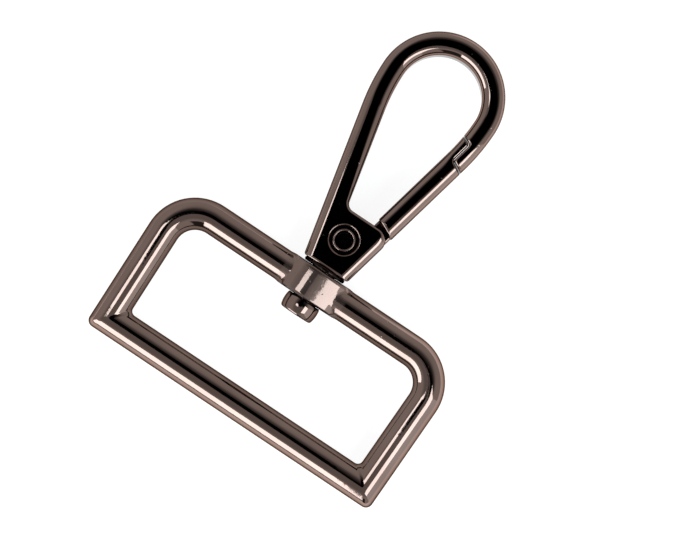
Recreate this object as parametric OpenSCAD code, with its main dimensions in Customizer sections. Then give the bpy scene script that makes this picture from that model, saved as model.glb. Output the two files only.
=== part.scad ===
// A swivel snap hook for a 32 mm strap: a cast eye hook with a sprung, riveted gate turns in the boss
// of a rectangular strap loop. It lies on its back: X runs along the loop's bars, Y from the loop to
// the nose of the hook, and Z up, away from the table.

/* [Strap loop] */
// Clear width for the strap, at the upper corners
strap_w = 31.8; // [26:0.1:38]
// Clear height, from the upper bar to the lower bar
strap_h = 12.3; // [10:0.1:16]
// Diameter of the round bar
bar_d = 3.7; // [3:0.05:4.5]
// Inside radius of the two upper corners
upper_corner_r = 2.4; // [1.5:0.05:3.5]
// Inside radius of the two lower corners
lower_corner_r = 0.65; // [0.4:0.05:1]
// Rounding of the outer tips of the two lower corners
lower_tip_r = 0.9; // [0.5:0.05:1.3]
// Lean of each side bar towards the middle of the lower bar, in degrees
side_lean = 1.05; // [0.5:0.05:2]

/* [Swivel] */
// Width of the boss in the middle of the upper bar
boss_w = 7.75; // [6.4:0.05:9.3]
// Thickness of the boss, front to back
boss_t = 5.3; // [4.4:0.05:6.4]
// Radius of the boss's gently curved front and back
boss_face_r = 6.9; // [5.6:0.1:8.3]
// How much taller the boss is than the bar
boss_rise = 0.1; // [0.05:0.01:0.3]
// Diameter of the hook's post, inside the boss
post_d = 3; // [2.4:0.05:3.6]
// Radial running clearance between the post and the boss
swivel_fit = 0.08; // [0.05:0.01:0.1]
// Clearance above and below the boss, along the post
swivel_play = 0.06; // [0.04:0.01:0.1]
// Overhang of the collar around the post, above the boss
collar_lip = 1.15; // [0.9:0.05:1.4]
// Height of the collar
collar_h = 0.45; // [0.3:0.05:0.8]
// Overhang of the peened head around the post, inside the loop
head_lip = 0.65; // [0.5:0.05:0.8]
// Height of the peened head
head_h = 1.95; // [1.5:0.05:2.5]
// Narrowing of the peened head's radius over its height
head_taper = 0.24; // [0.1:0.02:0.3]
// Rounding of the peened head's rim
head_rim = 0.4; // [0.2:0.05:0.5]
// Bevel of the peened head's edge below the boss
head_edge = 0.12; // [0.05:0.01:0.2]

/* [Hook] */
// Height of the eye's centre above the underside of the base
eye_reach = 23.2; // [19:0.1:28]
// Inside radius of the eye's round end
eye_r = 4.83; // [4:0.01:5.8]
// Outside radius of the long curves between the round end and the straight arms
flank_r = 24; // [20:0.5:29]
// Width of the hook's bar, seen from the front
hook_bar_w = 2.68; // [2.3:0.02:3.2]
// Thickness of the hook, front to back
hook_t = 4.6; // [4:0.05:5.3]
// Width of the rounded edges, seen from the front
edge_w = 1.08; // [0.7:0.02:1.1]
// Depth of the rounded edges, seen from the side
edge_t = 1.1; // [0.6:0.05:1.1]
// Width of the base at its underside
base_w = 5.85; // [4.9:0.05:7]
// Height of the base, from its underside to the crotch
base_h = 7.05; // [6.2:0.05:8.4]
// Bevel along the crotch and the underside of the base
base_bevel = 0.35; // [0.2:0.05:0.5]
// Fillet between the arm and the crotch
crotch_r = 0.95; // [0.7:0.05:1.2]
// Rounding of the cheeks' corners beside the gate
cheek_corner_r = 1.5; // [1.1:0.05:1.9]

/* [Gate] */
// Height of the gate's pivot above the underside of the base
pivot_h = 3.77; // [3.4:0.01:4.3]
// How far the gate's front and back lie below the hook's
gate_inset = 0.1; // [0.05:0.01:0.2]
// Thickness of the gate's root, between the cheeks
root_t = 2.2; // [1.8:0.05:2.6]
// Clearance between the root and each cheek
root_fit = 0.1; // [0.06:0.01:0.2]
// How far the root lies inside the gate's sides
root_inset = 0.12; // [0.06:0.01:0.25]
// Radius of the gate's lugs around the pivot
lug_r = 2.1; // [1.9:0.05:2.5]
// Clearance around the lugs, in the slot between the cheeks
lug_clear = 0.28; // [0.2:0.01:0.4]
// Distance along the gate from the top of the cheeks to the shoulder where the gate gets thick
shoulder_gap = 0.87; // [0.7:0.01:1.5]
// Slant of the shoulder, in degrees
shoulder_slant = 14; // [8:1:18]
// Distance from the pivot to the step of the latch
latch_reach = 15.1; // [12.5:0.1:18]
// Length of the overlapping tongues of the latch
latch_len = 2.55; // [2:0.05:3.1]
// Width of the gate's tongue
tongue_w = 0.94; // [0.8:0.02:1.12]
// Gap between the gate and the nose, all along the latch
latch_gap = 0.13; // [0.1:0.01:0.3]
// Rounding of the latch's outer corners, seen from the front
latch_r = 0.35; // [0.2:0.05:0.45]
// Extra slant of the latch's faces over the path of the gate, in degrees
latch_ease = 3; // [2:0.5:5]
// How far the gate opens into the eye, in degrees
open_deg = 27; // [20:1:30]

/* [Rivet] */
// Diameter of the rivet's shank
rivet_d = 2.5; // [2:0.05:2.9]
// Radial running clearance between the shank and the gate
rivet_fit = 0.05; // [0.03:0.01:0.08]
// Overhang of the rivet's two flush heads around its shank
rivet_lip = 0.53; // [0.4:0.01:0.7]
// Depth of each head, down its countersink
rivet_head_h = 0.55; // [0.4:0.05:0.65]
// How far the heads stand out of the cheeks
rivet_proud = 0.07; // [0.03:0.01:0.12]
// Wall of the hollow end of the shank
rivet_wall = 0.4; // [0.3:0.02:0.5]
// Width of the curled flare at the hollow's mouth
rivet_flare = 0.33; // [0.2:0.02:0.4]
// Depth of the hollow
rivet_hollow = 2.6; // [2:0.1:3.4]

/* [Gate spring] */
// Diameter of the spring's wire
wire_d = 0.35; // [0.28:0.01:0.42]
// Clearance between the coil and the rivet, and around the coil in the gate
coil_clear = 0.1; // [0.06:0.01:0.15]
// Whole turns of the coil, before the part turn between its legs
coil_turns = 2; // [1:1:2]
// Length of the leg that pushes on the gate
gate_leg = 2.6; // [2:0.1:3]

/* [Hidden] */
$fn = 96;
// Facets in each rounded edge of the hook's bar
edge_steps = 4;
// Depth by which shapes of one piece run into each other, and cutters run past a face
bite = 0.3;
// Half the thickness of the webs that fillet the loop's lower corners
fillet_z = 0.6;
// Longer than any part of the hook, for cutters that reach past it
far = 80;
// How far a rounding crosses the faces that it joins, instead of only touching them
ease = 0.01;
// Bevel of the collar's rim, as a share of its height
collar_rim = 0.3;
// Share of the peened head's rounding taken by the first of its two facets
rim_share = 0.3;
// What is left of a cheek's side between its rounded edge and the slot
cheek_land = 0.15;
// Where the sides of the gate's root leave the round of its lugs, in degrees, and where they straighten
lug_back_turn = 155;
lug_front_turn = -55;
lug_knee = 0.42;
// Distance between the spring's turns, in diameters of its wire, and straight pieces in each turn
coil_spread = 1.08;
coil_steps = 20;
// Facets in each rounded corner of the latch
latch_steps = 4;

// The swivel axis is the Y axis, and y = 0 is the upper face of the boss, on which the collar turns
boss_h = bar_d + boss_rise;
bar_r = bar_d / 2;
upper_y = -boss_h / 2;
lower_y = -boss_h - strap_h - bar_r;
upper_bend = upper_corner_r + bar_r;
boss_end_r = (boss_face_r * boss_t - pow(boss_t / 2, 2) - pow(boss_w / 2, 2)) / (2 * boss_face_r - boss_w);
hole_d = post_d + 2 * swivel_fit;
head_top = -boss_h - swivel_play;

base_y = swivel_play + collar_h;
crotch_y = base_y + base_h;
eye_y = base_y + eye_reach;
pivot_y = base_y + pivot_h;
outer_r = eye_r + hook_bar_w;
bar_path_r = eye_r + hook_bar_w / 2;
flank_path_r = flank_r - hook_bar_w / 2;
flank_x = flank_r - outer_r;
shoulder_reach = base_h - pivot_h + shoulder_gap;
// The straight arms are the tangents from the base's lower corners to the flanks
arm_lean = atan2(eye_reach, base_w / 2 + flank_x) - acos(flank_r / norm([eye_reach, base_w / 2 + flank_x]));
arm_top = [flank_path_r * cos(arm_lean) - flank_x, eye_y - flank_path_r * sin(arm_lean)];
arm_len = (arm_top.y - base_y) / cos(arm_lean) + hook_bar_w;
slot_w = root_t + 2 * root_fit;
cheek_t = (hook_t - slot_w) / 2;
edge_depth = min(edge_t, cheek_t - cheek_land);
nose_y = eye_y + outer_r;

// In the gate's own frame u runs outwards from the pivot and v along the gate, towards the nose
gate_t = hook_t - 2 * gate_inset;
gate_u = arm_top.x * cos(arm_lean) - (arm_top.y - pivot_y) * sin(arm_lean);
inner_u = gate_u - hook_bar_w / 2;
outer_u = gate_u + hook_bar_w / 2;
tongue_u = inner_u + tongue_w;
step_slant = atan(outer_u / latch_reach) + latch_ease;
tip_slant = atan(tongue_u / (latch_reach + latch_len)) + latch_ease;
root_inner = [inner_u + root_inset, shoulder_reach + bite];
root_knee = [inner_u + root_inset, base_h - pivot_h];
root_outer = [outer_u - root_inset, shoulder_reach + bite];
lug_back = lug_r * [cos(lug_back_turn), sin(lug_back_turn)];
lug_front = lug_r * [cos(lug_front_turn), sin(lug_front_turn)];

wire_r = wire_d / 2;
coil_r = rivet_d / 2 + coil_clear + wire_r;
coil_pitch = wire_d * coil_spread;
coil_sweep = 360 * coil_turns + 90 - arm_lean;
coil_h = coil_pitch * coil_sweep / 360;
pocket_w = coil_h + wire_d + coil_clear;
pocket_r = coil_r + wire_r + coil_clear;
seat_r = lug_r + lug_clear;
body_leg = sqrt(pow(seat_r, 2) - pow(coil_r + wire_r, 2)) - coil_clear;

// The whole part is centred on the origin, with its lowest surface at z = 0
mid_y = (nose_y + lower_y - bar_r) / 2;
mid_z = max(boss_t, post_d + 2 * collar_lip, hook_t + 2 * rivet_proud) / 2;

// Middle of a side bar of the loop at height y
function side_x(y) = strap_w / 2 + bar_r / cos(side_lean) + (y + boss_h) * tan(side_lean);
// Middle of an elbow of radius r that meets a side bar and a level bar at height y, above or below it
function elbow(r, y) = [side_x(y) - r / cos(side_lean), y];
top_elbow = elbow(upper_bend, upper_y - upper_bend);
// Outer edge of the hook at height y, moved inwards by d
function edge_x(y, d = 0) =
    arm_top.x + (y - arm_top.y) * tan(arm_lean) + (hook_bar_w / 2 - d) / cos(arm_lean);
// A point turned by a about the pivot
function turned(p, a) = [p.x * cos(a) - p.y * sin(a), p.x * sin(a) + p.y * cos(a)];

// The corner p of a plan, between the points a and b, rounded with radius r
function rounded(p, a, b, r) =
    let (
        u = (a - p) / norm(a - p),
        v = (b - p) / norm(b - p),
        half = acos(u * v) / 2,
        centre = p + (u + v) / norm(u + v) * r / sin(half),
        start = p + u * r / tan(half) - centre,
        end = p + v * r / tan(half) - centre
    )
    [for (i = [0:latch_steps])
        let (w = start + (end - start) * i / latch_steps)
        centre + r * w / norm(w)];

// Cross-section of the hook's bar: flat faces joined by rounded edges
function bar_section(t) = [
    for (q = [0:3], i = [0:edge_steps])
        let (a = 90 * (q + i / edge_steps), sx = q == 0 || q == 3 ? 1 : -1, sz = q < 2 ? 1 : -1)
        [sx * (hook_bar_w / 2 - edge_w) + edge_w * cos(a), sz * (t / 2 - edge_depth) + edge_depth * sin(a)]
];

// A plan shape, extruded equally to the front and the back
module plate(t) {
    linear_extrude(height = t, center = true)
        children();
}

// A turned shape on the swivel axis, from a radius and height outline
module on_swivel(points) {
    rotate([-90, 0, 0])
        rotate_extrude()
            polygon([for (p = points) [p.x, p.y]]);
}

// What lies beside a rounding of radius r, in the corner between the directions a and b about its centre
module corner_waste(centre, r, a, b, past) {
    half = (b - a) / 2;
    reach = (r + past) / cos(half);
    translate(centre)
        difference() {
            polygon([
                [0, 0],
                (r + past) * [cos(a), sin(a)],
                reach * [cos(a + half), sin(a + half)],
                (r + past) * [cos(b), sin(b)]
            ]);
            circle(r = r + ease);
        }
}

// The elbow of an upper corner and the side bar below it share this place, where the elbow starts
module at_side() {
    translate([top_elbow.x, top_elbow.y, 0])
        rotate([0, 0, -side_lean])
            children();
}

// What of the loop lies on one side of a lower corner's mitre: s = 0 inside and above, 1 below
module mitred(s) {
    intersection() {
        children();
        translate([side_x(lower_y), lower_y, 0])
            rotate([0, 0, -45 - side_lean / 2])
                translate([-far / 2, -far * s, -bar_d])
                    cube([far, far, 2 * bar_d]);
    }
}

// One half of the loop: half of the upper bar, the side bar and half of the lower bar
module loop_half() {
    fillet = elbow(lower_corner_r + bar_r, lower_y + bar_r + lower_corner_r);
    rotate([0, 90, 0])
        translate([0, upper_y, 0])
            cylinder(d = bar_d, h = top_elbow.x);
    at_side()
        rotate_extrude(angle = 90 + side_lean)
            translate([upper_bend, 0])
                circle(d = bar_d);
    mitred(0)
        at_side()
            translate([upper_bend, 0, 0])
                rotate([90, 0, 0])
                    cylinder(d = bar_d, h = top_elbow.y - lower_y + bar_d);
    mitred(1)
        rotate([0, 90, 0])
            translate([0, lower_y, 0])
                cylinder(d = bar_d, h = strap_w / 2 + 2 * bar_d);
    plate(2 * fillet_z)
        corner_waste(fillet, lower_corner_r, -90, -side_lean, bite);
}

// Plan of the boss seen along the swivel: round ends and gently curved faces, all tangent
module boss_oval() {
    end_x = boss_w / 2 - boss_end_r;
    centre_z = boss_face_r - boss_t / 2;
    meet_x = end_x * boss_face_r / (boss_face_r - boss_end_r);
    for (s = [-1, 1])
        translate([s * end_x, 0])
            circle(r = boss_end_r);
    intersection() {
        translate([0, centre_z])
            circle(r = boss_face_r);
        translate([0, -centre_z])
            circle(r = boss_face_r);
        square([2 * meet_x, boss_t + bite], center = true);
    }
}

module strap_loop() {
    tip_c = elbow(lower_tip_r - bar_r, lower_y - bar_r + lower_tip_r);
    color("dimgray") in_frame()
        difference() {
            union() {
                for (m = [0, 1])
                    mirror([m, 0, 0])
                        loop_half();
                rotate([90, 0, 0])
                    linear_extrude(height = boss_h)
                        boss_oval();
            }
            for (m = [0, 1])
                mirror([m, 0, 0])
                    plate(boss_t)
                        corner_waste(tip_c, lower_tip_r, -90, -side_lean, bite);
            rotate([90, 0, 0])
                translate([0, 0, -bite])
                    cylinder(d = hole_d, h = boss_h + 2 * bite);
        }
}

// The centre of a flank, turned to the end where the flank meets its straight arm
module at_flank() {
    translate([-flank_x, eye_y, 0])
        rotate([0, 0, -arm_lean])
            children();
}

// The straight arm and the flank above it, on the gate's side of the hook
module straight_arm(t) {
    at_flank()
        translate([flank_path_r, 0, 0])
            rotate([90, 0, 0])
                linear_extrude(height = arm_len)
                    polygon(bar_section(t));
}

module flank(t) {
    intersection() {
        at_flank()
            rotate_extrude(angle = 2 * arm_lean)
                translate([flank_path_r, 0])
                    polygon(bar_section(t));
        translate([-flank_x, eye_y - far, -hook_t])
            cube([far, far, 2 * hook_t]);
    }
}

// The round end of the eye
module eye_end() {
    translate([0, eye_y, 0])
        rotate_extrude(angle = 180)
            translate([bar_path_r, 0])
                polygon(bar_section(hook_t));
}

// Places a plan shape in the gate's frame
module at_gate() {
    translate([0, pivot_y])
        rotate(-arm_lean)
            children();
}

// Plan of what belongs to the nose at the latch, and of what belongs to the gate
module nose_side() {
    step = latch_reach + latch_gap / cos(step_slant);
    tip = latch_reach + latch_len + latch_gap / cos(tip_slant);
    nose_u = tongue_u + latch_gap;
    start = [-far, tip + (far + tongue_u) * tan(tip_slant)];
    tip_corner = [nose_u, tip - latch_gap * tan(tip_slant)];
    step_corner = [nose_u, step - latch_gap * tan(step_slant)];
    end = [far, step - (far - tongue_u) * tan(step_slant)];
    at_gate()
        polygon(concat(
            [start],
            rounded(tip_corner, start, step_corner, latch_r + latch_gap),
            rounded(step_corner, tip_corner, end, latch_r),
            [end, [far, far], [-far, far]]
        ));
}

module gate_side() {
    tip = latch_reach + latch_len;
    rise = tan(shoulder_slant) * hook_bar_w / 2;
    past = 2 * bite;
    start = [inner_u - past, tip + (tongue_w + past) * tan(tip_slant)];
    tip_corner = [tongue_u, tip];
    step_corner = [tongue_u, latch_reach];
    end = [outer_u + past, latch_reach - (outer_u + past - tongue_u) * tan(step_slant)];
    at_gate()
        polygon(concat(
            [[inner_u - past, shoulder_reach + rise + past * tan(shoulder_slant)], start],
            rounded(tip_corner, start, step_corner, latch_r),
            rounded(step_corner, tip_corner, end, latch_r + latch_gap),
            [end, [outer_u + past, shoulder_reach - rise - past * tan(shoulder_slant)]]
        ));
}

// Plan of the base: a trapezium whose corner beside the gate is rounded
module base_plan() {
    corner_y = crotch_y - cheek_corner_r;
    difference() {
        polygon([
            [-edge_x(base_y), base_y],
            [edge_x(base_y), base_y],
            [edge_x(crotch_y), crotch_y],
            [-edge_x(crotch_y), crotch_y]
        ]);
        corner_waste([edge_x(corner_y, cheek_corner_r), corner_y], cheek_corner_r, -arm_lean, 90, bite);
    }
}

// The base before its slot: a block between two arms, with bevels above and below
module base_block() {
    half_t = hook_t / 2;
    bevel = base_bevel;
    inside = edge_w + bite;
    intersection() {
        union() {
            plate(hook_t)
                polygon([
                    [-edge_x(base_y, inside), base_y],
                    [edge_x(base_y, inside), base_y],
                    [edge_x(crotch_y, inside), crotch_y],
                    [-edge_x(crotch_y, inside), crotch_y]
                ]);
            straight_arm(hook_t);
            mirror([1, 0, 0])
                straight_arm(hook_t);
        }
        plate(hook_t + bite)
            base_plan();
        rotate([90, 0, 90])
            linear_extrude(height = far, center = true)
                polygon([
                    [base_y, -half_t + bevel],
                    [base_y + bevel, -half_t],
                    [crotch_y - bevel, -half_t],
                    [crotch_y, -half_t + bevel],
                    [crotch_y, half_t - bevel],
                    [crotch_y - bevel, half_t],
                    [base_y + bevel, half_t],
                    [base_y, half_t - bevel]
                ]);
    }
}

// The bevel that follows the cheeks' rounded corners, front and back
module corner_bevel() {
    corner_y = crotch_y - cheek_corner_r;
    for (m = [0, 1])
        mirror([0, 0, m])
            translate([edge_x(corner_y, cheek_corner_r), corner_y, hook_t / 2])
                rotate([0, 0, -arm_lean])
                    rotate_extrude(angle = 90 + arm_lean)
                        polygon([
                            [cheek_corner_r - base_bevel - bite, bite],
                            [cheek_corner_r + bite, -base_bevel - bite],
                            [cheek_corner_r + bite, bite]
                        ]);
}

// The concave fillet between the arm and the crotch
module crotch_fillet() {
    centre_y = crotch_y + crotch_r;
    centre_x = -edge_x(centre_y, hook_bar_w + crotch_r);
    plate(hook_t - 2 * base_bevel)
        corner_waste([centre_x, centre_y], crotch_r, 180 + arm_lean, 270, bite);
}

// The slot for the gate's root, wide enough for its whole swing
module slot_plan() {
    back = turned(lug_back, open_deg - arm_lean);
    inner = turned(root_inner, open_deg - arm_lean);
    run = (inner - back) / norm(inner - back);
    aside = lug_clear * [-run.y, run.x];
    translate([0, pivot_y]) {
        circle(r = seat_r);
        polygon([
            back + aside,
            inner + aside,
            [inner.x + aside.x, base_h],
            [far, base_h],
            [far, -seat_r],
            [0, -seat_r],
            [0, 0]
        ]);
    }
}

// The rivet's shank and heads as one outline of radius over height, its ends standing proud of the cheeks
function rivet_outline(proud) = [
    [0, -hook_t / 2 - proud],
    [rivet_d / 2 + rivet_lip, -hook_t / 2 - proud],
    [rivet_d / 2 + rivet_lip, -hook_t / 2],
    [rivet_d / 2, -hook_t / 2 + rivet_head_h],
    [rivet_d / 2, hook_t / 2 - rivet_head_h],
    [rivet_d / 2 + rivet_lip, hook_t / 2],
    [rivet_d / 2 + rivet_lip, hook_t / 2 + proud],
    [0, hook_t / 2 + proud]
];

module hook_body() {
    head_r = post_d / 2 + head_lip;
    tip_r = head_r - head_taper;
    collar_r = post_d / 2 + collar_lip;
    collar_edge = collar_rim * collar_h;
    rim_edge = rim_share * head_rim;
    color("dimgray") in_frame()
        difference() {
            union() {
                eye_end();
                mirror([1, 0, 0])
                    flank(hook_t);
                mirror([1, 0, 0])
                    intersection() {
                        straight_arm(hook_t);
                        translate([-far / 2, base_y + base_bevel, -hook_t])
                            cube([far, far, 2 * hook_t]);
                    }
                intersection() {
                    union() {
                        flank(hook_t);
                        straight_arm(hook_t);
                    }
                    plate(2 * hook_t)
                        nose_side();
                }
                difference() {
                    base_block();
                    corner_bevel();
                }
                crotch_fillet();
                on_swivel([
                    [0, head_top - head_h],
                    [tip_r - head_rim, head_top - head_h],
                    [tip_r - rim_edge, head_top - head_h + rim_edge],
                    [tip_r, head_top - head_h + head_rim],
                    [head_r, head_top - head_edge],
                    [head_r - head_edge, head_top],
                    [post_d / 2, head_top],
                    [post_d / 2, swivel_play],
                    [collar_r - collar_edge, swivel_play],
                    [collar_r, swivel_play + collar_edge],
                    [collar_r, base_y - collar_edge],
                    [collar_r - collar_edge, base_y],
                    [post_d / 2, base_y],
                    [post_d / 2, base_y + bite],
                    [0, base_y + bite]
                ]);
            }
            plate(slot_w)
                slot_plan();
            translate([0, pivot_y, 0])
                rotate_extrude()
                    polygon(rivet_outline(bite));
        }
}

module gate() {
    color("dimgray") in_frame()
        difference() {
            union() {
                intersection() {
                    union() {
                        straight_arm(gate_t);
                        flank(gate_t);
                    }
                    plate(2 * hook_t)
                        gate_side();
                }
                plate(root_t)
                    at_gate() {
                        circle(r = lug_r);
                        polygon([lug_back, root_knee, root_inner, root_outer, [root_outer.x, lug_knee], lug_front]);
                    }
            }
            translate([0, pivot_y, 0])
                cylinder(d = rivet_d + 2 * rivet_fit, h = far, center = true);
            plate(pocket_w)
                at_gate() {
                    circle(r = pocket_r);
                    translate([-far, -far])
                        square([far, far]);
                    translate([coil_r - pocket_r + coil_r, 0])
                        square([2 * (pocket_r - coil_r), gate_leg + coil_clear]);
                }
        }
}

module gate_rivet() {
    bore_r = rivet_d / 2 - rivet_wall;
    top_z = hook_t / 2 + rivet_proud;
    color("darkslategray") in_frame()
        translate([0, pivot_y, 0])
            difference() {
                rotate_extrude()
                    polygon(rivet_outline(rivet_proud));
                rotate_extrude()
                    polygon([
                        [0, top_z - rivet_hollow],
                        [bore_r, top_z - rivet_hollow],
                        [bore_r, top_z - rivet_head_h],
                        [bore_r + rivet_flare, top_z],
                        [bore_r + rivet_flare, top_z + bite],
                        [0, top_z + bite]
                    ]);
            }
}

// The spring's path: a leg against the base, the coil round the rivet, and a leg along the gate
function spring_path(steps = coil_steps * (coil_turns + 0.2)) = concat(
    [[-body_leg, -coil_r, -coil_h / 2]],
    [for (i = [0:steps])
        let (f = i / steps, a = coil_sweep * f - 90)
        [coil_r * cos(a), coil_r * sin(a), coil_h * (f - 0.5)]],
    [[coil_r * cos(arm_lean) + gate_leg * sin(arm_lean), gate_leg * cos(arm_lean) - coil_r * sin(arm_lean),
      coil_h / 2]]
);

// A round wire along a path that stays nearly level: rings of 8 points, capped at both ends
module wire(path) {
    n = len(path);
    sides = 8;
    rings = [
        for (i = [0:n - 1])
            let (
                run = path[min(i + 1, n - 1)] - path[max(i - 1, 0)],
                side = [run.y, -run.x, 0] / norm([run.y, -run.x])
            )
            for (k = [0:sides - 1])
                path[i] + wire_r * (cos(360 * k / sides) * side + [0, 0, sin(360 * k / sides)])
    ];
    polyhedron(
        points = rings,
        faces = concat(
            [[for (k = [0:sides - 1]) k]],
            [[for (k = [0:sides - 1]) n * sides - 1 - k]],
            [for (i = [0:n - 2], k = [0:sides - 1])
                let (a = i * sides + k, b = i * sides + (k + 1) % sides)
                [a, a + sides, b + sides, b]]
        )
    );
}

module gate_spring() {
    color("silver") in_frame()
        translate([0, pivot_y, 0])
            wire(spring_path());
}

// Moves the finished piece from the swivel's frame to the part's own
module in_frame() {
    translate([0, -mid_y, mid_z])
        children();
}

hook_body();
gate();
gate_rivet();
gate_spring();
strap_loop();
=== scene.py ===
import math

import bmesh
import bpy
from mathutils import Matrix, Vector


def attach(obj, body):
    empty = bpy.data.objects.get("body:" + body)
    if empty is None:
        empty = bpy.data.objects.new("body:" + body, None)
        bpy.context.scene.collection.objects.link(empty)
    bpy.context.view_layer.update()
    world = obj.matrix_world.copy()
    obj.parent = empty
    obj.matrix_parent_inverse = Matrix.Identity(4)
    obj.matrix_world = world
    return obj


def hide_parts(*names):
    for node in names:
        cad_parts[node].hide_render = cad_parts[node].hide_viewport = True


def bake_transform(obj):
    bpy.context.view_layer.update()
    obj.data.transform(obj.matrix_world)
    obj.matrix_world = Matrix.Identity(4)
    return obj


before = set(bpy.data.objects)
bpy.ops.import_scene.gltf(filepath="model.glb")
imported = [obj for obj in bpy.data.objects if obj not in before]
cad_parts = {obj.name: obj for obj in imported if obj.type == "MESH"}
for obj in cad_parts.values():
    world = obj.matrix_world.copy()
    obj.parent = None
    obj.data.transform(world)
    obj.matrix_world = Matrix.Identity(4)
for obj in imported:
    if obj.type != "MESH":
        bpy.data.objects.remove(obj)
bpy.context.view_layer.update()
scene = bpy.context.scene


# The camera looks straight down from about a quarter of a metre, turned so that the strap loop lies at
# the lower left of the picture and the hook's nose at its upper right.
view_centre = (2.55, -4.05)
view_turn = 33.7
view_distance = 260
view_width = 79.7
mid_z = 2.65

camera_data = bpy.data.cameras.new("camera")
camera_data.sensor_fit = "HORIZONTAL"
camera_data.angle = 2 * math.atan(view_width / 2 / view_distance)
camera_data.clip_start = 0.01
camera = bpy.data.objects.new("camera", camera_data)
camera.location = (view_centre[0] / 1000, view_centre[1] / 1000, (view_distance + mid_z) / 1000)
camera.rotation_euler = (0, 0, math.radians(view_turn))
scene.collection.objects.link(camera)
scene.camera = camera


# The hook's body, one zinc casting: a flat bar with rounded edges bent round the eye, a base with two
# cheeks and the gate's slot between them, and below it the collar, the post and its peened head.
eye_y, eye_r, bar_w, hook_t = 18.0, 4.83, 2.68, 4.6
flank_r = 24
arm_lean = math.radians(12.52)
base_y, crotch_y = -5.2, 1.85
cheek_r, crotch_r = 1.5, 0.95
edge_round, thin_edge, slight, crisp = 1.08, 0.34, 0.25, 0.1
pivot_y = -1.43
latch_v, latch_len, latch_gap, latch_r = 15.1, 2.55, 0.13, 0.35
tongue_w, latch_ease = 0.94, math.radians(3)
root_t, slot_fit, lug_r, lug_clear = 2.2, 0.1, 2.1, 0.28
root_inset, root_end_v, shoulder_v = 0.12, 4.45, 4.15
back_angle, open_angle = math.radians(155), math.radians(27)
rivet_r, rivet_sink, lip_r, eased_r, eased = 1.25, 0.55, 1.78, 1.87, 0.16
post_r, collar_r, collar_rim = 1.5, 2.65, 0.18
head_r, head_h, head_rim, head_edge, head_bevel = 2.15, 1.95, 0.3, 0.12, 0.19
boss_bottom, boss_top, play = -9.51, -5.71, 0.06
far = 30

outer_r = eye_r + bar_w
flank_x = flank_r - outer_r
cos_lean, sin_lean, tan_lean = math.cos(arm_lean), math.sin(arm_lean), math.tan(arm_lean)
arm_top = ((flank_r - bar_w / 2) * cos_lean - flank_x, eye_y - (flank_r - bar_w / 2) * sin_lean)


def edge_x(y, inwards=0.0):
    """Outer edge of the straight arm at height y, moved inwards."""
    return arm_top[0] + (y - arm_top[1]) * tan_lean + (bar_w / 2 - inwards) / cos_lean


def gate_point(u, v):
    """A point of the gate's own plan, u outwards from the pivot and v along the gate."""
    return u * cos_lean + v * sin_lean, pivot_y - u * sin_lean + v * cos_lean


def in_gate(x, y):
    """The gate's u and v of a point of the plan."""
    return x * cos_lean - (y - pivot_y) * sin_lean, x * sin_lean + (y - pivot_y) * cos_lean


def select(piece):
    """Makes this the only selected object and the active one."""
    bpy.ops.object.select_all(action="DESELECT")
    piece.select_set(True)
    bpy.context.view_layer.objects.active = piece


def start_point(x, y):
    """A new mesh of one vertex, in edit mode, from which an outline is drawn."""
    bpy.ops.object.select_all(action="DESELECT")
    bpy.ops.mesh.primitive_plane_add(size=1, location=(x, y, 0))
    bpy.ops.object.transform_apply(location=True)
    bpy.ops.object.mode_set(mode="EDIT")
    bpy.ops.mesh.select_mode(type="VERT")
    bpy.ops.mesh.select_all(action="SELECT")
    bpy.ops.mesh.merge(type="CENTER")


def line_to(x, y):
    """Draws a straight line on to this point of the outline."""
    points = bmesh.from_edit_mesh(bpy.context.object.data).verts
    at = next(point.co for point in points if point.select)
    bpy.ops.mesh.extrude_region_move(TRANSFORM_OT_translate={"value": (x - at.x, y - at.y, 0)})


def arc(centre, degrees, steps, axis=(0, 0, 1)):
    """Spins what is selected anticlockwise about an axis through the centre."""
    bpy.ops.mesh.spin(steps=steps, angle=-math.radians(degrees), center=centre, axis=axis)


def round_corner(before, corner, after, radius):
    """Draws to a corner of the outline, between its neighbours, and on round it."""
    before, corner, after = Vector(before), Vector(corner), Vector(after)
    a, b = (before - corner).normalized(), (after - corner).normalized()
    half = a.angle(b) / 2
    line_to(*(corner + a * radius / math.tan(half)))
    centre = corner + (a + b).normalized() * radius / math.sin(half)
    arc((*centre, 0), math.copysign(180 - math.degrees(2 * half), a.y * b.x - a.x * b.y), 5)


def merge_all():
    """Merges the doubles of the mesh that is being drawn."""
    bpy.ops.mesh.select_all(action="SELECT")
    bpy.ops.mesh.remove_doubles(threshold=0.0005)


def close_mesh():
    """Merges a drawn mesh's doubles, turns its faces outwards and leaves edit mode."""
    merge_all()
    bpy.ops.mesh.normals_make_consistent(inside=False)
    bpy.ops.object.mode_set(mode="OBJECT")
    return bpy.context.object


def plate(thickness):
    """Closes the outline that is being drawn and makes it a plate about the hook's middle plane."""
    merge_all()
    bpy.ops.mesh.edge_face_add()
    bpy.ops.transform.translate(value=(0, 0, mid_z - thickness / 2))
    bpy.ops.mesh.extrude_region_move(TRANSFORM_OT_translate={"value": (0, 0, thickness)})
    return close_mesh()


def lathe(profile, centre, upright=False):
    """Turns a profile of (radius, height) round an axis through the centre: Y, or Z when upright."""
    start_point(*profile[0])
    for point in profile[1:]:
        line_to(*point)
    bpy.ops.mesh.select_all(action="SELECT")
    arc((0, 0, 0), 360, 72, axis=(0, 1, 0))
    piece = close_mesh()
    piece.rotation_euler.x = math.pi / 2 if upright else 0
    piece.location = centre
    bpy.ops.object.transform_apply(location=True, rotation=True)
    return piece


def modify(piece, kind, **settings):
    """Adds one modifier to the piece and applies it."""
    select(piece)
    modifier = piece.modifiers.new(kind.lower(), kind)
    for name, value in settings.items():
        setattr(modifier, name, value)
    bpy.ops.object.modifier_apply(modifier=modifier.name)


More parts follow.
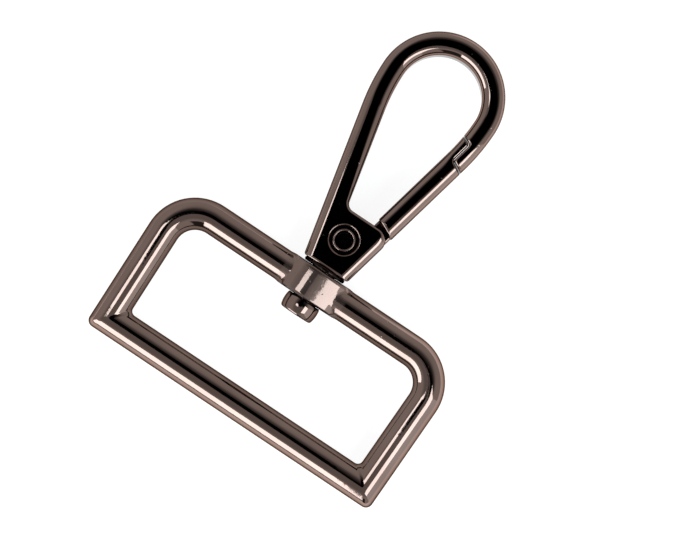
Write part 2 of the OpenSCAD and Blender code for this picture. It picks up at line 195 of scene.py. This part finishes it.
def cut(piece, tool, operation="DIFFERENCE"):
    """Cuts the tool's shape out of the piece, or joins it on, and removes the tool."""
    modify(piece, "BOOLEAN", operation=operation, object=tool, solver="EXACT")
    bpy.data.objects.remove(tool)


def round_edges(piece, width, weight):
    """Rounds the edges of a piece, each by its weight at the middle of the edge."""
    weights = piece.data.attributes.new("bevel_weight_edge", "FLOAT", "EDGE")
    points = piece.data.vertices
    for edge in piece.data.edges:
        a, b = (points[i].co for i in edge.vertices)
        weights.data[edge.index].value = weight((a + b) / 2, b - a)
    modify(piece, "BEVEL", width=width, segments=6, limit_method="WEIGHT", use_clamp_overlap=False)


def finish_piece(piece, name, node, body):
    """Brings a piece drawn in millimetres to metres, shades it and puts it in its node's place."""
    select(piece)
    bpy.ops.object.transform_apply(location=True, rotation=True, scale=True)
    piece.scale = (0.001, 0.001, 0.001)
    bpy.ops.object.transform_apply(location=True, rotation=True, scale=True)
    bpy.ops.object.shade_smooth_by_angle(angle=math.radians(32))
    modify(piece, "WEIGHTED_NORMAL", keep_sharp=True, weight=100)
    piece.name = name
    if body:
        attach(piece, body)
    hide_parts(node)


def on_arc(centre, radius, degrees):
    """The point of a circle at this angle."""
    angle = math.radians(degrees)
    return centre[0] + radius * math.cos(angle), centre[1] + radius * math.sin(angle)


def cross_arc(centre, radius, foot, slant):
    """Angle at which a circle crosses the line that rises inwards by its slant from a gate point."""
    low, high = -20.0, 0.0
    for _ in range(40):
        middle = (low + high) / 2
        u, v = in_gate(*on_arc(centre, radius, middle))
        above = v > foot[1] + (foot[0] - u) * math.tan(slant)
        low, high = (low, middle) if above else (middle, high)
    return middle


lean = math.degrees(arm_lean)
gate_u = in_gate(*arm_top)[0]
inner_u, outer_u = gate_u - bar_w / 2, gate_u + bar_w / 2
tongue_u = inner_u + tongue_w
step_slant = math.atan(outer_u / latch_v) + latch_ease
tip_slant = math.atan(tongue_u / (latch_v + latch_len)) + latch_ease
nose_u = tongue_u + latch_gap
nose_step = latch_v + latch_gap / math.cos(step_slant) - latch_gap * math.tan(step_slant)
nose_tip = latch_v + latch_len + latch_gap / math.cos(tip_slant) - latch_gap * math.tan(tip_slant)
left_centre, right_centre, eye = (flank_x, eye_y), (-flank_x, eye_y), (0, eye_y)
inner_flank_r = flank_r - bar_w
inner_cross = cross_arc(right_centre, inner_flank_r, (nose_u, nose_tip), tip_slant)
cheek_y = crotch_y - cheek_r
cheek = (edge_x(cheek_y, cheek_r), cheek_y)
crotch = (-edge_x(crotch_y + crotch_r, bar_w + crotch_r), crotch_y + crotch_r)

start_point(-edge_x(base_y), base_y)
line_to(edge_x(base_y), base_y)
line_to(*on_arc(cheek, cheek_r, -lean))
arc((*cheek, 0), 90 + lean, 16)
line_to(*on_arc(crotch, crotch_r, 270))
arc((*crotch, 0), -90 + lean, 12)
line_to(*on_arc(left_centre, inner_flank_r, 180 + lean))
arc((*left_centre, 0), -lean, 10)
arc((*eye, 0), -180, 48)
arc((*right_centre, 0), inner_cross, 8)
tip, step = gate_point(nose_u, nose_tip), gate_point(nose_u, nose_step)
nose_end = gate_point(outer_u, nose_step - (outer_u - nose_u) * math.tan(step_slant))
nose_start = on_arc(right_centre, inner_flank_r, inner_cross)
round_corner(nose_start, tip, step, latch_r + latch_gap)
round_corner(tip, step, nose_end, latch_r)
line_to(*nose_end)
line_to(*on_arc(right_centre, flank_r, -lean))
arc((*right_centre, 0), lean, 10)
arc((*eye, 0), 180, 64)
arc((*left_centre, 0), lean, 10)
line_to(-edge_x(base_y), base_y)
hook = plate(hook_t)


def off_flank(at):
    """Whether a point near the latch lies away from the flank's outer and inner edges."""
    reach = math.hypot(at.x + flank_x, at.y - eye_y)
    return min(abs(reach - flank_r), abs(reach - inner_flank_r)) > 0.02


def near(at, point):
    """Whether an edge stands on this corner of the plan."""
    return math.dist(at[:2], point) < 0.01


def hook_weight(at, along):
    """The bar's edges are fully round, and thinner towards the crotch, at the base and at the latch."""
    thin, round_y = thin_edge / edge_round, eye_y - 5
    if abs(along.z) > 0.1:
        if near(at, nose_end) or near(at, nose_start):
            return crisp
        return slight if at.y < base_y + 0.01 else 0
    if at.y < base_y + 0.01:
        return thin
    if at.x > 3 and latch_v - 1 < in_gate(at.x, at.y)[1] < latch_v + 4 and off_flank(at):
        return slight
    if at.y < round_y and abs(at.x) < edge_x(at.y, bar_w * 0.7):
        share = min(max((at.y - crotch_y) / (round_y - crotch_y), 0), 1)
        return thin + share * (1 - thin)
    if at.x > 0 and crotch_y - cheek_r < at.y < crotch_y + 0.01:
        share = min(max((crotch_y - at.y) / cheek_r, 0), 1)
        return thin + share * (1 - thin)
    return 1


round_edges(hook, edge_round, hook_weight)


def swung(u, v):
    """A point of the gate's plan about the pivot, with the gate open."""
    x, y = gate_point(u, v)
    return Matrix.Rotation(open_angle, 2) @ Vector((x, y - pivot_y))


lug_back = lug_r * math.cos(back_angle), lug_r * math.sin(back_angle)
back, inner = swung(*lug_back), swung(inner_u + root_inset, root_end_v)
run = (inner - back).normalized()
aside = lug_clear * Vector((-run.y, run.x))
back, inner = back + aside, inner + aside
slot_low, slot_high = pivot_y - lug_r - lug_clear, crotch_y + 2
start_point(0, slot_low)
arc((0, pivot_y, 0), math.degrees(math.atan2(back.y, back.x)) - 270, 24)
line_to(back.x, pivot_y + back.y)
line_to(inner.x, pivot_y + inner.y)
line_to(inner.x, slot_high)
line_to(far, slot_high)
line_to(far, slot_low)
line_to(0, slot_low)
cut(hook, plate(root_t + 2 * slot_fit))
rivet_hole = [(0, -hook_t), (lip_r, -hook_t), (lip_r, -hook_t / 2)]
rivet_hole += [(rivet_r + 0.01, rivet_sink - hook_t / 2), (rivet_r + 0.01, hook_t / 2 - rivet_sink)]
rivet_hole += [on_arc((eased_r, hook_t / 2 - eased), eased, a) for a in range(134, 89, -11)]
rivet_hole += [(eased_r, hook_t), (0, hook_t)]
cut(hook, lathe(rivet_hole, (0, pivot_y, mid_z), upright=True))

head_top = boss_bottom - play
# peening swells the head: its side is an arc of these degrees above and below its widest place
above, below = 12, 16
sin_above, sin_below = math.sin(math.radians(above)), math.sin(math.radians(below))
swell_r = (head_h - head_edge - head_rim * (1 - sin_below)) / (sin_above + sin_below)
swell = (head_r - swell_r, head_top - head_edge - swell_r * sin_above)
rim_centre = on_arc(swell, swell_r - head_rim, -below)
post_profile = [(0, head_top - head_h)]
post_profile += [on_arc(rim_centre, head_rim, a) for a in range(-90, -20, 15)]
post_profile += [on_arc(swell, swell_r, a) for a in range(-below, above + 1, 4)]
post_profile += [(head_r - head_bevel, head_top), (post_r, head_top), (post_r, boss_top + play)]
for rim_y, turn in ((boss_top + play + collar_rim, -90), (base_y - collar_rim, 0)):
    rim_centre = (collar_r - collar_rim, rim_y)
    post_profile += [on_arc(rim_centre, collar_rim, turn + a) for a in range(0, 91, 18)]
post_profile += [(post_r, base_y), (post_r, base_y + 0.3), (0, base_y + 0.3)]
cut(hook, lathe(post_profile, (0, 0, mid_z)), "UNION")
finish_piece(hook, "hook_casting", "hook_body", "hook")


# The gate, one zinc casting: a straight bar with rounded edges whose stepped tongue laps the nose, a
# shoulder, and a thinner root with two lugs round the rivet and a pocket for the spring.
gate_t, root_edge, rest_gap, taper_v = hook_t - 0.2, 0.3, 0.045, 13.6
root_side_v, bore_clear = 0.42, 0.05
wire_r, coil_clear, coil_turns, gate_leg = 0.175, 0.1, 2, 2.6
coil_r = rivet_r + coil_clear + wire_r
coil_sweep = 2 * math.pi * coil_turns + math.pi / 2 - arm_lean
coil_h = 2.16 * wire_r * coil_sweep / (2 * math.pi)
pocket_w = coil_h + 2 * wire_r + coil_clear
pocket_r = coil_r + wire_r + coil_clear
rise = math.tan(math.radians(14)) * bar_w / 2
tip_v = latch_v + latch_len
gate_cross = cross_arc(right_centre, inner_flank_r, (tongue_u, tip_v), tip_slant)

start_point(*gate_point(outer_u, shoulder_v - rise))
step_end = gate_point(outer_u, latch_v - (outer_u - tongue_u) * math.tan(step_slant))
# the spring holds the tongue up against the nose, all but a hair
rest_u = tongue_u + latch_gap - rest_gap
step, tip = gate_point(rest_u, latch_v), gate_point(rest_u, tip_v)
tip_end = on_arc(right_centre, inner_flank_r, gate_cross)
line_to(*step_end)
round_corner(step_end, step, tip, latch_r + latch_gap)
round_corner(step, tip, tip_end, latch_r)
line_to(*tip_end)
arc((*right_centre, 0), -lean - gate_cross, 8)
for v in (taper_v + 1.2, taper_v + 0.6, taper_v, shoulder_v + rise):
    line_to(*gate_point(inner_u, v))
line_to(*gate_point(outer_u, shoulder_v - rise))
gate = plate(gate_t)


def gate_weight(at, along):
    """The long edges are fully round, the shoulder and the latch only a little."""
    u, v = in_gate(at.x, at.y)
    if abs(along.z) > 0.1:
        return crisp if v < shoulder_v + 1 or near(at, step_end) or near(at, tip_end) else 0
    if v < shoulder_v + 1 and inner_u + 0.1 < u < outer_u - 0.1:
        return 0.4
    if u < inner_u + 0.02 or v > latch_v and not off_flank(at):
        return min(max(1 - (v - taper_v) * 0.25, 0.6), 1)
    if v > latch_v - 1 and u < outer_u - 0.02:
        return slight
    return 1


round_edges(gate, edge_round, gate_weight)
start_point(*gate_point(*lug_back))
arc((0, pivot_y, 0), 150, 24)
line_to(*gate_point(outer_u - root_inset, root_side_v))
line_to(*gate_point(outer_u - root_inset, root_end_v))
line_to(*gate_point(inner_u + root_inset, root_end_v))
line_to(*gate_point(inner_u + root_inset, crotch_y - pivot_y))
line_to(*gate_point(*lug_back))
root = plate(root_t)
round_edges(root, root_edge, lambda at, along: 0 if abs(along.z) > 0.1 else 1)
cut(gate, root, "UNION")
bore = [(0, -far), (rivet_r + bore_clear, -far), (rivet_r + bore_clear, far), (0, far)]
cut(gate, lathe(bore, (0, pivot_y, mid_z), upright=True))
# the pocket is a groove along the gate for the spring's leg, then round for its coil and open below
groove_u, groove_v = 2 * coil_r - pocket_r, gate_leg + coil_clear
start_point(*gate_point(pocket_r, 0))
line_to(*gate_point(pocket_r, groove_v))
line_to(*gate_point(groove_u, groove_v))
line_to(*gate_point(groove_u, math.sqrt(pocket_r ** 2 - groove_u ** 2)))
arc((0, pivot_y, 0), 90 - math.degrees(math.acos(groove_u / pocket_r)), 10)
line_to(*gate_point(-far, pocket_r))
line_to(*gate_point(-far, -far))
line_to(*gate_point(0, -far))
line_to(*gate_point(0, -pocket_r))
arc((0, pivot_y, 0), 90, 16)
cut(gate, plate(pocket_w))
finish_piece(gate, "gate_casting", "gate", "gate")


# The rivet, turned from steel: a shank through both cheeks and the lugs, a flush head at the back, and
# at the front a hollow end that is spread into its countersink, with a rolled bead round its bore.
top, proud, bore_r, hollow = hook_t / 2, 0.07, 0.85, 2.6
ledge, ledge_r, bead, bead_r = 0.1, lip_r - 0.12, 0.12, bore_r + 0.32
rivet_profile = [(0, -top - proud), (lip_r - 0.12, -top - proud), (lip_r, -top + 0.02)]
rivet_profile += [(rivet_r, rivet_sink - top), (rivet_r, top - rivet_sink)]
rivet_profile += [(ledge_r, top - ledge - 0.04), (ledge_r - 0.04, top - ledge)]
rivet_profile += [(bead_r + bead, top - ledge)]
rivet_profile += [on_arc((bead_r, top + proud - bead), bead, a) for a in range(0, 181, 12)]
rivet_profile += [(bore_r, top - rivet_sink), (bore_r, top - hollow), (0, top - hollow)]
rivet = lathe(rivet_profile, (0, pivot_y, mid_z), upright=True)
finish_piece(rivet, "hollow_rivet", "gate_rivet", "hook")


# The gate's torsion spring, of hard wire: two turns round the rivet in the gate's pocket, one leg
# against the end of the slot and one along the gate.
body_leg = math.sqrt((lug_r + lug_clear) ** 2 - (coil_r + wire_r) ** 2) - coil_clear
coil_steps = 96
path = [(-body_leg, -coil_r, -coil_h / 2)]
for share in (i / coil_steps for i in range(coil_steps + 1)):
    angle = coil_sweep * share - math.pi / 2
    path.append((coil_r * math.cos(angle), coil_r * math.sin(angle), coil_h * (share - 0.5)))
leg_x, leg_y = gate_point(coil_r, gate_leg)
path.append((leg_x, leg_y - pivot_y, coil_h / 2))
wire = bpy.data.curves.new("wire", "CURVE")
wire.dimensions, wire.bevel_depth, wire.bevel_resolution, wire.use_fill_caps = "3D", wire_r, 4, True
spline = wire.splines.new("POLY")
spline.points.add(len(path) - 1)
for point, (x, y, z) in zip(spline.points, path):
    point.co = (x, y + pivot_y, z + mid_z, 1)
spring = bpy.data.objects.new("spring", wire)
scene.collection.objects.link(spring)
select(spring)
bpy.ops.object.convert(target="MESH")
spring = bpy.context.object
finish_piece(spring, "torsion_spring", "gate_spring", None)
# the ends of the coil's axis, about which the coil winds up as the gate opens
start, end = ((0, pivot_y / 1000, (mid_z + side * coil_h / 2) / 1000) for side in (-1, 1))
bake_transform(spring)


# The strap loop, one zinc casting: round bar bent at the two upper corners, mitred at the two lower
# ones, and in its upper bar a boss with gently curved faces, in which the hook's post turns.
strap_w, strap_h, bar_r = 31.8, 12.3, 1.85
upper_r = 2.4 + bar_r
lower_inner_r, lower_tip_r, mitre_edge = 0.65, 0.9, 0.1
side_lean = math.radians(1.05)
boss_w, boss_t, boss_face_r, boss_edge = 7.75, 5.3, 6.9, 0.28
boss_gone_x, boss_fade, boss_soft, boss_crowd = 4.35, 0.9, 0.12, 1.7
ridge_h, ridge_w, ridge_off, flank_off, flank_off_x = 0.067, 1.1, 0.42, 0.4, 1.7
post_hole_r = 1.58
bar_sides = 64

bar_y = (boss_bottom + boss_top) / 2
lower_y = boss_bottom - strap_h - bar_r
boss_h = boss_top - boss_bottom
boss_end_r = (boss_face_r * boss_t - boss_t ** 2 / 4 - boss_w ** 2 / 4) / (2 * boss_face_r - boss_w)
boss_end_x = boss_w / 2 - boss_end_r
boss_meet_x = boss_end_x * boss_face_r / (boss_face_r - boss_end_r)


def side_x(y):
    """The middle of the loop's side bar at height y."""
    return strap_w / 2 + bar_r / math.cos(side_lean) + (y - boss_bottom) * math.tan(side_lean)


def boss_half(x):
    """Half the boss's thickness, with a soft ridge, at a distance x from the swivel's axis."""
    lower = ridge_h * (1 - math.exp(-(x / ridge_w) ** 2))
    if x < boss_meet_x:
        return math.sqrt(boss_face_r ** 2 - x * x) - boss_face_r + boss_t / 2 - lower
    return math.sqrt(max(boss_end_r ** 2 - (x - boss_end_x) ** 2, lower ** 2)) - lower


def boss_reach(x, angle):
    """How far the boss's section at x, with rounded corners, reaches from the bar's axis."""
    half_y, half_z = boss_h / 2 - boss_edge, max(boss_half(x) - boss_edge, 0.01)
    low, high = 0, 6
    for _ in range(30):
        middle = (low + high) / 2
        y, z = abs(middle * math.cos(angle)) - half_y, abs(middle * math.sin(angle)) - half_z
        outside = math.hypot(max(y, 0), max(z, 0)) + min(max(y, z), 0) > boss_edge
        low, high = (low, middle) if outside else (middle, high)
    return middle


def boss_section(x, angle):
    """Where a point of the bar's round section lies on the boss, which blends into the bar."""
    share = min(max((boss_gone_x - x) / boss_fade, 0), 1)
    share = share * share * (3 - 2 * share)
    quarter = angle // (math.pi / 2) * math.pi / 2
    part = (angle - quarter) / (math.pi / 4) - 1
    corner = math.atan2(max(boss_half(x), 0.4), boss_h / 2)
    if quarter in (math.pi / 2, 3 * math.pi / 2):
        corner = math.pi / 2 - corner
    packed = math.copysign(abs(part) ** boss_crowd, part)
    packed = corner * (1 + packed) if packed < 0 else corner + (math.pi / 2 - corner) * packed
    angle += share * (quarter + packed - angle)
    boss = boss_reach(x, angle)
    reach = (boss + bar_r + math.sqrt((boss - bar_r) ** 2 + boss_soft ** 2)) / 2
    reach = bar_r + share * (reach - bar_r)
    return reach * math.cos(angle), reach * math.sin(angle)


bpy.ops.object.select_all(action="DESELECT")
bpy.ops.mesh.primitive_circle_add(
    vertices=bar_sides, radius=bar_r, location=(0, bar_y, mid_z), rotation=(0, math.pi / 2, 0))
loop = bpy.context.object
bpy.ops.object.transform_apply(location=True, rotation=True)
around = [math.atan2(point.co.z - mid_z, point.co.y - bar_y) for point in loop.data.vertices]
elbow_y = bar_y - upper_r
elbow_x = side_x(elbow_y) - upper_r / math.cos(side_lean)
stations = [0.4 * i for i in range(8)] + [2.8 + 0.08 * i for i in range(1, 21)]
for station in stations:
    if station:
        bpy.ops.object.mode_set(mode="EDIT")
        bpy.ops.mesh.extrude_region_move(TRANSFORM_OT_translate={"value": (0.01, 0, 0)})
        bpy.ops.object.mode_set(mode="OBJECT")
    ring = [point for point in loop.data.vertices if point.select or not station]
    for point, angle in zip(ring, around):
        y, z = boss_section(station, angle % (2 * math.pi))
        point.co = (station, bar_y + y, mid_z + z)
bpy.ops.object.mode_set(mode="EDIT")
bpy.ops.mesh.extrude_region_move(TRANSFORM_OT_translate={"value": (elbow_x - stations[-1], 0, 0)})
arc((elbow_x, elbow_y, 0), -90 - math.degrees(side_lean), 18)
down = Vector((-math.sin(side_lean), -math.cos(side_lean), 0))
run = (elbow_y - lower_y) / math.cos(side_lean)
bpy.ops.mesh.extrude_region_move(TRANSFORM_OT_translate={"value": down * run})
bpy.ops.object.mode_set(mode="OBJECT")
# the side bar's last ring slides onto the mitre's plane
corner = Vector((side_x(lower_y), lower_y, mid_z))
mitre = (down + Vector((-1, 0, 0))).normalized()
for point in loop.data.vertices:
    if point.select:
        point.co += down * (corner - point.co).dot(mitre) / down.dot(mitre)
bpy.ops.object.mode_set(mode="EDIT")
bpy.ops.mesh.extrude_region_move(TRANSFORM_OT_translate={"value": (-1, 0, 0)})
bpy.ops.object.mode_set(mode="OBJECT")
for point in loop.data.vertices:
    if point.select:
        point.co.x = 0
modify(loop, "MIRROR", use_mirror_merge=True, merge_threshold=0.001)
bpy.ops.object.mode_set(mode="EDIT")
loop = close_mesh()


def mitre_weight(at, along):
    """The mitres are creased on top, and rounded at the outer tip and inside the corner."""
    across = Vector((abs(at.x), at.y, at.z)) - corner
    along = Vector((math.copysign(1, at.x) * along.x, along.y, along.z))
    if at.y > lower_y + 4 or abs(across.dot(mitre)) > 0.005 or abs(along.normalized().dot(mitre)) > 0.05:
        return 0
    outwards = across.normalized().dot(Vector((1, -1, 0)).normalized())
    return mitre_edge + (lower_tip_r - mitre_edge) * max(outwards, 0) ** 3 + (
        lower_inner_r - mitre_edge) * max(-outwards, 0) ** 3


round_edges(loop, 1.0, mitre_weight)
# the boss's ridge lies a little to the left of the swivel's axis, and its right flank draws in with it
for point in loop.data.vertices:
    x = point.co.x
    if abs(x) < 4 and abs(point.co.y - bar_y) < 3:
        point.co.x -= ridge_off * (1 - (x / 4) ** 2) ** 2
        point.co.x -= flank_off * max(1 - ((x - flank_off_x) / 2) ** 2, 0) ** 2
hole = [(0, boss_bottom - 1), (post_hole_r, boss_bottom - 1), (post_hole_r, boss_top + 1)]
cut(loop, lathe(hole + [(0, boss_top + 1)], (0, 0, mid_z)))
finish_piece(loop, "loop_casting", "strap_loop", "loop")


# The finishes. The castings and the rivet are bright black nickel over polished metal: a warm grey
# mirror, a little wavy, with fine pits, slightly paler in places, rubbed satin on the boss's faces,
# and painted shade in the gaps above and below the boss. The spring is plain drawn wire.
class Socket:
    """An output of a shader node, for sums written as Python expressions."""

    def __init__(self, tree, link):
        self.tree, self.link = tree, link

    def add(self, kind, *values, stops=(), output=0, **settings):
        """Adds a node with these settings, links or sets its inputs, and gives one of its outputs."""
        node = self.tree.nodes.new(kind)
        for name, value in settings.items():
            setattr(node, name, value)
        if stops:
            for element, (place, colour) in zip(node.color_ramp.elements, stops):
                element.position, element.color = place, (*colour, 1)
        values = values[0] if isinstance(values[0], dict) else dict(enumerate(values))
        for key, value in values.items():
            if isinstance(value, Socket):
                self.tree.links.new(value.link, node.inputs[key])
            else:
                node.inputs[key].default_value = value
        return Socket(self.tree, node.outputs[output])

    def math(self, operation, *others):
        """The result of an operation on this output and others."""
        return self.add("ShaderNodeMath", self, *others, operation=operation)

    def axes(self):
        """Its parts along X, Y and Z."""
        node = self.tree.nodes.new("ShaderNodeSeparateXYZ")
        self.tree.links.new(self.link, node.inputs[0])
        return [Socket(self.tree, node.outputs[i]) for i in range(3)]

    def __add__(self, other):
        return self.math("ADD", other)

    def __mul__(self, other):
        return self.math("MULTIPLY", other)

    def __sub__(self, other):
        return self.math("SUBTRACT", other)

    def __rsub__(self, other):
        return self.add("ShaderNodeMath", other, self, operation="SUBTRACT")


def empty_tree(owner):
    """The shader tree of a new material or world, without any node."""
    owner.use_nodes = True
    owner.node_tree.nodes.clear()
    return owner.node_tree


def first(tree, kind, output):
    """An output of a new node that needs no input."""
    return Socket(tree, tree.nodes.new(kind).outputs[output])


def surface_of(tree, shader, kind="ShaderNodeOutputMaterial"):
    """Gives the material or the world this shader."""
    tree.links.new(shader.link, tree.nodes.new(kind).inputs["Surface"])


def slope(value, low, high):
    """Rises smoothly from 0 at low to 1 at high."""
    return value.add("ShaderNodeMapRange", {"Value": value, "From Min": low, "From Max": high},
                     interpolation_type="SMOOTHSTEP")


def band(value, start, full, fading, gone):
    """Rises from 0 at start to 1 at full, and falls again from fading to gone."""
    return slope(value, start, full) * slope(value, gone, fading)


wave_scale, grain_scale, pit_scale, pit_size = 260.0, 1500.0, 620.0, 0.075
wave_h, grain_h, pit_h = 0.00004, 0.000004, 0.00001
# the first of these is painted shade: the near-black tone of the gaps above and below the boss
gap_shade_tone, mirror_tint = (0.012, 0.008, 0.007, 1), (0.25, 0.24, 0.23, 1)
satin_rough, satin_least, satin_patches = 0.45, 0.1, 0.3


def metal(name, base, worn, roughness, wave, grain, pits):
    """A mirror-like metal by its base and worn colours, roughness, waviness, grain and pits, with painted
    shade in the gaps at the boss.
    """
    material = bpy.data.materials.new(name)
    tree = empty_tree(material)
    place = first(tree, "ShaderNodeTexCoord", "Object")
    x, y, _ = place.axes()
    broad = place.add("ShaderNodeTexNoise", {"Vector": place, "Scale": wave_scale, "Detail": 2.0})
    fine = place.add("ShaderNodeTexNoise", {"Vector": place, "Scale": grain_scale, "Detail": 3.0})
    spots = place.add("ShaderNodeTexVoronoi", {"Vector": place, "Scale": pit_scale}, output="Distance")
    speck = place.add("ShaderNodeValToRGB", spots, stops=[(0.0, (1, 1, 1)), (pit_size, (0, 0, 0))])
    height = broad * (wave * wave_h) + fine * (grain * grain_h) - speck * (pits * pit_h)
    bump = place.add("ShaderNodeBump", {"Strength": 1.0, "Distance": 1.0, "Height": height})
    tone = place.add("ShaderNodeValToRGB", broad, stops=[(0.3, base), (0.75, worn)])
    # painted shade: bands at the collar above the boss and at the head's top below it are made
    # near-black, where shade falls between the parts
    gap_shade_mask = band(y, -0.00975, -0.0096, -0.0094, -0.0092) + band(y, -0.0059, -0.0057, -0.0053, -0.0051)
    gap_shade_mask = gap_shade_mask * band(x, -0.0034, -0.0028, 0.0028, 0.0034)
    tone = place.add("ShaderNodeMix", {0: gap_shade_mask, 6: tone, 7: gap_shade_tone}, data_type="RGBA", output=2)
    rough = fine * 0.05 + speck * 0.25 + (roughness - 0.02)
    looks = {"Base Color": tone, "Metallic": 1.0, "Normal": bump}
    glossy = place.add(
        "ShaderNodeBsdfPrincipled", {**looks, "Roughness": rough, "Specular Tint": mirror_tint})
    satin = place.add("ShaderNodeBsdfPrincipled", {**looks, "Roughness": satin_rough})
    boss = band(y, -0.0096, -0.0094, -0.0059, -0.0057) * band(x, -0.0043, -0.0039, 0.0039, 0.0043)
    rubbed = boss * (broad * satin_patches + satin_least)
    surface_of(tree, place.add("ShaderNodeMixShader", rubbed, glossy, satin))
    return material


nickel = (0.148, 0.103, 0.089), (0.166, 0.118, 0.103), 0.05, 0.3
pale_nickel = (0.15, 0.105, 0.09), (0.18, 0.13, 0.115), 0.07, 0.4
steel = (0.5, 0.49, 0.48), (0.56, 0.55, 0.54), 0.25, 1.0
black_nickel = metal("black_nickel", *nickel, 0.3, 1.0)
grained_nickel = metal("grained_nickel", *nickel, 0.9, 1.6)
rivet_nickel = metal("rivet_nickel", *pale_nickel, 0.5, 0.5)
drawn_wire = metal("drawn_wire", *steel, 1.0, 0.2)
for piece, finish in (
        (hook, black_nickel), (gate, black_nickel), (loop, grained_nickel), (rivet, rivet_nickel),
        (spring, drawn_wire)):
    piece.data.materials.clear()
    piece.data.materials.append(finish)


# The studio: a white table, a pale room with a dark patch of ceiling round the camera, four soft panels
# and, over the hook, a black card that shows only in the metal. In the metal the table is brighter at
# the right, below the strap loop and inside the eye, as the rims of the photographed hook are.
bpy.ops.object.select_all(action="DESELECT")
bpy.ops.mesh.primitive_plane_add(size=6, location=(0, 0, -0.00002))
floor = bpy.context.object
floor.name = "table"
paper = bpy.data.materials.new("white_table")
tree = empty_tree(paper)
mirrored = first(tree, "ShaderNodeLightPath", "Is Glossy Ray")
seen = first(tree, "ShaderNodeLightPath", "Is Camera Ray").math("MAXIMUM", mirrored)
x, y, _ = first(tree, "ShaderNodeTexCoord", "Object").axes()
from_eye = y - (eye_y + 0.5) / 1000
in_eye = slope((x * x + from_eye * from_eye).math("SQRT"), 0.0052, 0.0032) * 1.4
at_right = slope(x + y * 0.45, 0.009, 0.016) * 1.1
below_loop = slope(y, -0.026, -0.031) * 1.4
bright = at_right.math("MAXIMUM", below_loop).math("MAXIMUM", in_eye)
paper_grey, paper_glow = (0.22, 0.22, 0.22, 1), 0.88
matt = seen.add("ShaderNodeBsdfDiffuse", {"Color": paper_grey})
glow = seen.add("ShaderNodeEmission", {"Color": bright * mirrored + paper_glow, "Strength": 1.0})
both = seen.add("ShaderNodeAddShader", matt, glow)
surface_of(tree, seen.add("ShaderNodeMixShader", seen, matt, both))
floor.data.materials.append(paper)

world = bpy.data.worlds.new("room")
scene.world = world
tree = empty_tree(world)
x, y, z = first(tree, "ShaderNodeTexCoord", "Generated").axes()
ceiling = z.add(
    "ShaderNodeMapRange", {"Value": z, "From Min": 0.68, "From Max": 0.86, "To Min": 1.0, "To Max": 0.55})
patch = band(y, -0.02, 0.03, 0.1, 1.0) * band(x, -0.75, -0.3, 0.3, 0.75)
beyond_loop = band(x, 0.07, 0.12, 0.48, 0.55) * slope(y, -0.5, -0.6) * slope(z, 0.62, 0.52)
room = ceiling * (1 - patch) * (1 - beyond_loop * 0.92)
direct = first(tree, "ShaderNodeLightPath", "Is Camera Ray")
light = {"Color": (1.0, 1.0, 1.0, 1), "Strength": direct + (1 - direct) * room}
surface_of(tree, z.add("ShaderNodeBackground", light), "ShaderNodeOutputWorld")


def soft_box(name, place, width, height, facing, level):
    """A panel of light, sized and placed in millimetres, that the camera sees only in the metal."""
    lamp = bpy.data.lights.new(name, "AREA")
    lamp.shape, lamp.size, lamp.size_y = "RECTANGLE", width / 1000, height / 1000
    lamp.energy = level * math.pi * width * height / 1e6
    lamp.color = (0.82, 0.95, 1.0)
    stand = bpy.data.objects.new(name, lamp)
    stand.location = Vector(place) / 1000
    stand.rotation_euler = Vector(facing).to_track_quat("-Z", "Y").to_euler()
    stand.visible_camera = False
    scene.collection.objects.link(stand)


soft_box("right_box", (129, -31.5, 162), 102, 97, (0, 0, -1), 7.5)
soft_box("right_wall", (186, -36, 84), 107, 160, (-1, 0, 0), 0.9)
soft_box("left_box", (-81.5, -24.5, 234), 81, 35, (0, 0, -1), 7.2)
soft_box("near_box", (-193, -350, 192), 462, 257, (0, 1, 0), 7.5)

bpy.ops.object.select_all(action="DESELECT")
bpy.ops.mesh.primitive_plane_add(size=1, location=(-0.0165, 0.018, 0.2))
card = bpy.context.object
card.name = "black_card"
card.scale = (0.077, 0.084, 1)
card.visible_camera = card.visible_shadow = card.visible_diffuse = False
black = bpy.data.materials.new("black_card")
tree = empty_tree(black)
dark = tree.nodes.new("ShaderNodeEmission")
dark.inputs["Strength"].default_value = 0
surface_of(tree, Socket(tree, dark.outputs[0]))
card.data.materials.append(black)

scene.view_settings.view_transform = "Standard"
